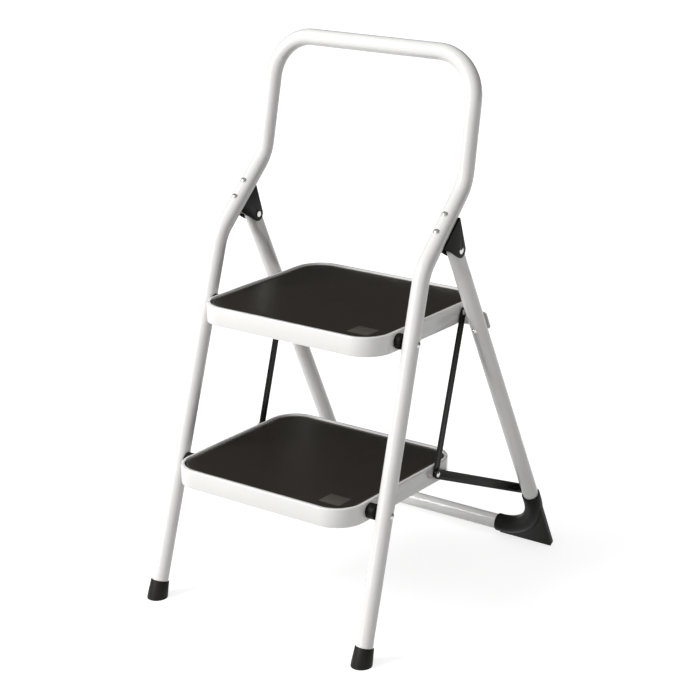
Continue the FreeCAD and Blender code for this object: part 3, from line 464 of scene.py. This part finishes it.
@dataclass
class FrontFrame:
    """The bent front tube with its rubber tips, hinge brackets, spacers and rivets."""

    tip_foot_radius: float = 15.6 * MM
    tip_top_radius: float = 14.0 * MM
    tip_height: float = 27.0 * MM
    tip_sole: float = 8.0 * MM
    tip_flare: float = 4.0 * MM
    tip_lip: float = 1.0 * MM
    tip_bore: float = 12.7 * MM
    tip_facets: int = 64
    bracket_edge: float = 0.7 * MM
    spacer_edge: float = 0.6 * MM

    def build(self) -> None:
        """Dress the tube and make the pieces of both sides."""
        dress("front_frame_tube", WHITE_COAT)
        for side in Side:
            self.make_tip(side)
            softened(f"hinge_bracket_{side.word}", MOULDED_BLACK, self.bracket_edge)
            dress(f"bracket_rivets_{side.word}", ZINC)
            dress(f"hinge_pin_{side.word}", ZINC)
            for level in Level:
                softened(f"{level.value}_pivot_spacer_{side.word}", MOULDED_BLACK, self.spacer_edge)
                dress(f"{level.value}_pivot_rivet_{side.word}", ZINC)

    def make_tip(self, side: Side) -> bpy.types.Object:
        """Turn a tapered rubber tip about the leg's axis and cut it flat at the floor.

        Args:
            side: Which leg it is on.

        Returns:
            The tip.
        """
        node = f"front_foot_{side.word}"
        low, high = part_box(node)
        upper, lower = joint_spot("upper_step_fold"), joint_spot("lower_step_fold")
        lean = math.atan2(upper.y - lower.y, upper.z - lower.z)
        spot = Vector(((low.x + high.x) / 2, lower.y - lower.z * math.tan(lean), 0))
        lip = self.tip_lip
        profile = (
            (0, -self.tip_sole), (self.tip_foot_radius - lip, -self.tip_sole),
            (self.tip_foot_radius, -self.tip_sole + lip), (self.tip_foot_radius, self.tip_flare),
            (self.tip_top_radius, self.tip_height - lip),
            (self.tip_top_radius - lip / 3, self.tip_height - lip / 3),
            (self.tip_top_radius - lip, self.tip_height), (self.tip_bore, self.tip_height),
            (self.tip_bore, 0), (0, 0),
        )
        shape = bmesh.new()
        spots = [shape.verts.new((radius, 0, along)) for radius, along in profile]
        runs = [shape.edges.new(pair) for pair in zip(spots, spots[1:])]
        bmesh.ops.spin(
            shape, geom=spots + runs, cent=(0, 0, 0), axis=(0, 0, 1), angle=math.tau, steps=self.tip_facets,
            use_merge=True)
        bmesh.ops.remove_doubles(shape, verts=shape.verts, dist=MERGE_DISTANCE)
        bmesh.ops.recalc_face_normals(shape, faces=shape.faces)
        place = Matrix.Translation(spot) @ Matrix.Rotation(-lean, 4, "X")
        bmesh.ops.transform(shape, matrix=place, verts=shape.verts)
        cut = bmesh.ops.bisect_plane(
            shape, geom=shape.verts[:] + shape.edges[:] + shape.faces[:], plane_co=(0, 0, 0),
            plane_no=(0, 0, 1), clear_inner=True)
        rim = [item for item in cut["geom_cut"] if isinstance(item, bmesh.types.BMEdge)]
        bmesh.ops.holes_fill(shape, edges=rim, sides=0)
        bmesh.ops.recalc_face_normals(shape, faces=shape.faces)
        return replace(as_object(f"rubber_tip_{side.word}", shape, TIP_RUBBER), node)


@dataclass
class RearFrame:
    """The U-shaped rear tube with its corner feet, rest bar and studs."""

    foot_edge: float = 0.8 * MM
    strip_edge: float = 0.4 * MM

    def build(self) -> None:
        """Dress the tube and make its fittings."""
        dress("rear_frame_tube", WHITE_COAT)
        softened("rest_bar", WHITE_COAT, self.strip_edge)
        dress("rest_bar_rivets", ZINC)
        for side in Side:
            softened(f"rear_corner_foot_{side.word}", MOULDED_BLACK, self.foot_edge)
            dress(f"brace_stud_{side.word}", BLACK_COAT)


@dataclass
class Step:
    """One step: the pressed pan, its rubber mat with a bead, and its rivets."""

    level: Level
    corner_radius: float = 39.7 * MM
    bead_inset: float = 2.6 * MM
    bead_width: float = 2.2 * MM
    bead_height: float = 0.9 * MM
    bead_slices: int = 8
    mat_edge: float = 0.5 * MM
    edge_slope: float = 0.3
    pan_edge: float = 0.7 * MM
    patch_length: float = 36 * MM
    patch_depth: float = 31 * MM
    patch_corner: float = 2.0 * MM
    patch_sunk: float = 0.25 * MM
    patch_wall: float = 0.4 * MM
    patch_bevel: float = 0.1 * MM
    patch_from_right: float = 23 * MM
    patch_from_front: float = 20 * MM

    def build(self) -> None:
        """Make the pan, the mat and its patch, and dress the small hardware."""
        word = self.level.value
        softened(f"{word}_step_pan", WHITE_COAT, self.pan_edge)
        self.make_mat()
        self.make_patch()
        for side in Side:
            dress(f"{word}_link_washer_{side.word}", ZINC)
            dress(f"{word}_link_rivet_{side.word}", ZINC)

    def rounded_sheet(self, low: Vector, high: Vector, radius: float, base: float) -> bmesh.types.BMesh:
        """Flat rounded rectangle that faces up.

        Args:
            low: Corner with the least X and Y.
            high: Corner with the most X and Y.
            radius: Radius of the corners.
            base: Height of the sheet.

        Returns:
            A bmesh with one face.
        """
        shape = bmesh.new()
        bmesh.ops.create_grid(shape, x_segments=1, y_segments=1, size=0.5)
        middle = Vector(((low.x + high.x) / 2, (low.y + high.y) / 2, base))
        stretch = Matrix.Diagonal((high.x - low.x, high.y - low.y, 1, 1))
        bmesh.ops.transform(shape, matrix=Matrix.Translation(middle) @ stretch, verts=shape.verts)
        bmesh.ops.bevel(
            shape, geom=shape.verts[:], offset=radius, offset_type="OFFSET", segments=CORNER_SEGMENTS,
            profile=0.5, affect="VERTICES", material=-1)
        return shape

    def step_in(
        self, shape: bmesh.types.BMesh, top: bmesh.types.BMFace, inset: float, rise: float,
    ) -> list[bmesh.types.BMFace]:
        """Draw the top face in and lift what is left of it.

        Args:
            shape: The bmesh.
            top: Its top face.
            inset: How far the face's edge moves in.
            rise: How far it then moves up.

        Returns:
            The ring of faces round the top face.
        """
        made = bmesh.ops.inset_region(
            shape, faces=[top], thickness=inset, depth=0.0, use_even_offset=True, use_boundary=True)
        bmesh.ops.translate(shape, vec=(0, 0, rise), verts=list(top.verts))
        return made["faces"]

    def make_mat(self) -> bpy.types.Object:
        """Rubber mat with a soft edge and a rounded bead that runs near it; the bead's faces carry a lighter
        rubber colour that is a painted highlight along its crest.

        Returns:
            The mat.
        """
        node = f"{self.level.value}_step_mat"
        low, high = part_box(node)
        sheet_top = high.z - self.bead_height
        shape = self.rounded_sheet(low, high, self.corner_radius, low.z)
        top = shape.faces[:][0]
        grown = bmesh.ops.extrude_face_region(shape, geom=[top])
        top = next(item for item in grown["geom"] if isinstance(item, bmesh.types.BMFace))
        bmesh.ops.translate(shape, vec=(0, 0, sheet_top - low.z - self.mat_edge), verts=list(top.verts))
        small, large = self.mat_edge * self.edge_slope, self.mat_edge * (1 - self.edge_slope)
        self.step_in(shape, top, small, large)
        self.step_in(shape, top, large, small)
        self.step_in(shape, top, self.bead_inset, 0)
        for i in range(self.bead_slices):
            turn, after = math.pi * i / self.bead_slices, math.pi * (i + 1) / self.bead_slices
            inset = self.bead_width / 2 * (math.cos(turn) - math.cos(after))
            ring = self.step_in(shape, top, inset, self.bead_height * (math.sin(after) - math.sin(turn)))
            for face in ring:
                # The bead's faces take the painted highlight colour.
                face.material_index = 1
        bmesh.ops.recalc_face_normals(shape, faces=shape.faces)
        made = as_object(f"{self.level.value}_mat", shape, MAT_RUBBER)
        # Second slot: the bead's painted highlight colour.
        made.data.materials.append(BEAD_HIGHLIGHT_PAINT.material())
        return replace(made, node)

    def make_patch(self) -> bpy.types.Object:
        """Small plain patch, a shade lighter than the mat, near its front right corner.

        Returns:
            The patch.
        """
        low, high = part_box(f"{self.level.value}_step_mat")
        base = high.z - self.bead_height
        right = high.x - self.patch_from_right
        front = low.y + self.patch_from_front
        near = Vector((right - self.patch_length, front, 0))
        far = Vector((right, front + self.patch_depth, 0))
        shape = self.rounded_sheet(near, far, self.patch_corner, base - self.patch_sunk)
        grown = bmesh.ops.extrude_face_region(shape, geom=shape.faces[:])
        top = next(item for item in grown["geom"] if isinstance(item, bmesh.types.BMFace))
        bmesh.ops.translate(shape, vec=(0, 0, self.patch_wall), verts=list(top.verts))
        self.step_in(shape, top, self.patch_sunk, self.patch_bevel)
        bmesh.ops.recalc_face_normals(shape, faces=shape.faces)
        made = as_object(f"{self.level.value}_mat_patch", shape, PATCH_RUBBER)
        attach(made, f"{self.level.value}_step")
        return made


@dataclass
class Linkage:
    """The flat bars that tie the steps to each other and to the rear legs."""

    edge: float = 0.4 * MM

    def build(self) -> None:
        """Make the bars of both sides."""
        for side in Side:
            for kind in ("side", "brace"):
                softened(f"{kind}_link_{side.word}", BLACK_COAT, self.edge)


@dataclass(frozen=True)
class Lamp:
    """One soft rectangular lamp: its place in metres, its size in metres and its power in watts."""

    name: str
    spot: tuple[float, float, float]
    size: tuple[float, float]
    power: float


@dataclass
class Studio:
    """Plain pale floor, soft lights and the camera at the photograph's angle."""

    lamps: tuple[Lamp, ...] = (
        Lamp("key", (-1.7, -2.6, 2.5), (1.6, 1.6), 95),
        Lamp("strip", (-1.25, -3.4, 1.0), (0.14, 2.2), 18),
    )

    camera_spot: Vector = Vector((1.5734, -2.20797, 1.2583))
    azimuth: float = 35.66
    elevation: float = 18.2
    focal_pixels: float = 1876.0
    frame_pixels: float = 700.0
    sensor: float = 36.0
    floor_size: float = 60.0
    floor_tone: float = 0.50
    floor_roughness: float = 0.9
    floor_lift: Range = (0.74, 0.98)
    floor_lift_reach: float = 2.4
    floor_drop: float = 0.1 * MM
    lamp_target: Vector = Vector((0, 0, 0.4))
    dome_bright_side: Vector = Vector((-0.1, -0.9, 0.42)).normalized()
    dome_turn: Range = (-0.4, 1.0)
    dome_strength: Range = (0.07, 0.80)

    def build(self) -> None:
        """Set up the view, the world, the floor, the lamps and the camera."""
        scene = bpy.context.scene
        scene.view_settings.view_transform = "Standard"
        self.make_world(scene)
        self.make_floor()
        for lamp in self.lamps:
            self.make_lamp(lamp)
        self.make_camera(scene)

    def make_world(self, scene: bpy.types.Scene) -> None:
        """White world for the camera, and a soft dome that is brighter in front for all else.

        Args:
            scene: The scene that gets the world.
        """
        world = bpy.data.worlds.new("studio")
        scene.world = world
        world.use_nodes = True
        tree = world.node_tree
        tree.nodes.clear()
        out = tree.nodes.new("ShaderNodeOutputWorld")
        dome = tree.nodes.new("ShaderNodeBackground")
        white = tree.nodes.new("ShaderNodeBackground")
        mix = tree.nodes.new("ShaderNodeMixShader")
        rays = tree.nodes.new("ShaderNodeLightPath")
        lean = tree.nodes.new("ShaderNodeVectorMath")
        lean.operation = "DOT_PRODUCT"
        lean.inputs[1].default_value = self.dome_bright_side
        place = tree.nodes.new("ShaderNodeTexCoord")
        tree.links.new(place.outputs["Generated"], lean.inputs[0])
        strength = remap(tree, lean.outputs["Value"], self.dome_turn, self.dome_strength)
        tree.links.new(strength, dome.inputs["Strength"])
        tree.links.new(rays.outputs["Is Camera Ray"], mix.inputs["Fac"])
        tree.links.new(dome.outputs["Background"], mix.inputs[1])
        tree.links.new(white.outputs["Background"], mix.inputs[2])
        white.inputs["Color"].default_value = (1, 1, 1, 1)
        dome.inputs["Color"].default_value = (1, 1, 1, 1)
        tree.links.new(mix.outputs["Shader"], out.inputs["Surface"])

    def make_floor(self) -> None:
        """Wide pale floor that the camera sees a little lighter, so that it runs out to white."""
        shape = bmesh.new()
        bmesh.ops.create_grid(shape, x_segments=1, y_segments=1, size=self.floor_size / 2)
        bmesh.ops.translate(shape, vec=(0, 0, -self.floor_drop), verts=shape.verts)
        mesh = bpy.data.meshes.new("floor")
        shape.to_mesh(mesh)
        shape.free()
        floor = bpy.data.objects.new("floor", mesh)
        bpy.context.scene.collection.objects.link(floor)
        paper = bpy.data.materials.new("studio_paper")
        paper.use_nodes = True
        tree = paper.node_tree
        shader = tree.nodes["Principled BSDF"]
        shader.inputs["Base Color"].default_value = (self.floor_tone,) * 3 + (1,)
        shader.inputs["Roughness"].default_value = self.floor_roughness
        shader.inputs["Specular IOR Level"].default_value = 0.0
        lift = tree.nodes.new("ShaderNodeEmission")
        rays = tree.nodes.new("ShaderNodeLightPath")
        place = tree.nodes.new("ShaderNodeTexCoord")
        reach = tree.nodes.new("ShaderNodeVectorMath")
        reach.operation = "LENGTH"
        fade = remap(tree, reach.outputs["Value"], (0.0, self.floor_lift_reach), self.floor_lift)
        seen = tree.nodes.new("ShaderNodeMath")
        seen.operation = "MAXIMUM"
        scale = tree.nodes.new("ShaderNodeMath")
        scale.operation = "MULTIPLY"
        both = tree.nodes.new("ShaderNodeAddShader")
        tree.links.new(place.outputs["Object"], reach.inputs[0])
        tree.links.new(fade, scale.inputs[1])
        tree.links.new(rays.outputs["Is Camera Ray"], seen.inputs[0])
        tree.links.new(rays.outputs["Is Glossy Ray"], seen.inputs[1])
        tree.links.new(seen.outputs["Value"], scale.inputs[0])
        tree.links.new(scale.outputs["Value"], lift.inputs["Strength"])
        tree.links.new(shader.outputs["BSDF"], both.inputs[0])
        tree.links.new(lift.outputs["Emission"], both.inputs[1])
        tree.links.new(both.outputs["Shader"], tree.nodes["Material Output"].inputs["Surface"])
        mesh.materials.append(paper)

    def make_lamp(self, lamp: Lamp) -> None:
        """Place a lamp that faces the stool.

        Args:
            lamp: The lamp's name, place, size and power.
        """
        light = bpy.data.lights.new(lamp.name, "AREA")
        light.shape = "RECTANGLE"
        light.size, light.size_y = lamp.size
        light.energy = lamp.power
        made = bpy.data.objects.new(lamp.name, light)
        made.location = lamp.spot
        made.rotation_euler = (self.lamp_target - Vector(lamp.spot)).to_track_quat("-Z", "Y").to_euler()
        bpy.context.scene.collection.objects.link(made)

    def make_camera(self, scene: bpy.types.Scene) -> None:
        """Camera with the photograph's place, angle and field of view.

        Args:
            scene: The scene that gets the camera.
        """
        lens = bpy.data.cameras.new("camera")
        lens.sensor_width = self.sensor
        lens.lens = self.focal_pixels * self.sensor / self.frame_pixels
        lens.clip_end = self.floor_size * 2
        camera = bpy.data.objects.new("camera", lens)
        camera.location = self.camera_spot
        camera.rotation_euler = (math.radians(90 - self.elevation), 0, math.radians(self.azimuth))
        scene.collection.objects.link(camera)
        scene.camera = camera


def main() -> None:
    """Build the stool's looks piece by piece, then the studio."""
    logging.basicConfig(level=logging.INFO, format="%(name)s: %(message)s")
    FrontFrame().build()
    RearFrame().build()
    for level in Level:
        Step(level).build()
    Linkage().build()
    Studio().build()


if __name__ == "__main__":
    main()
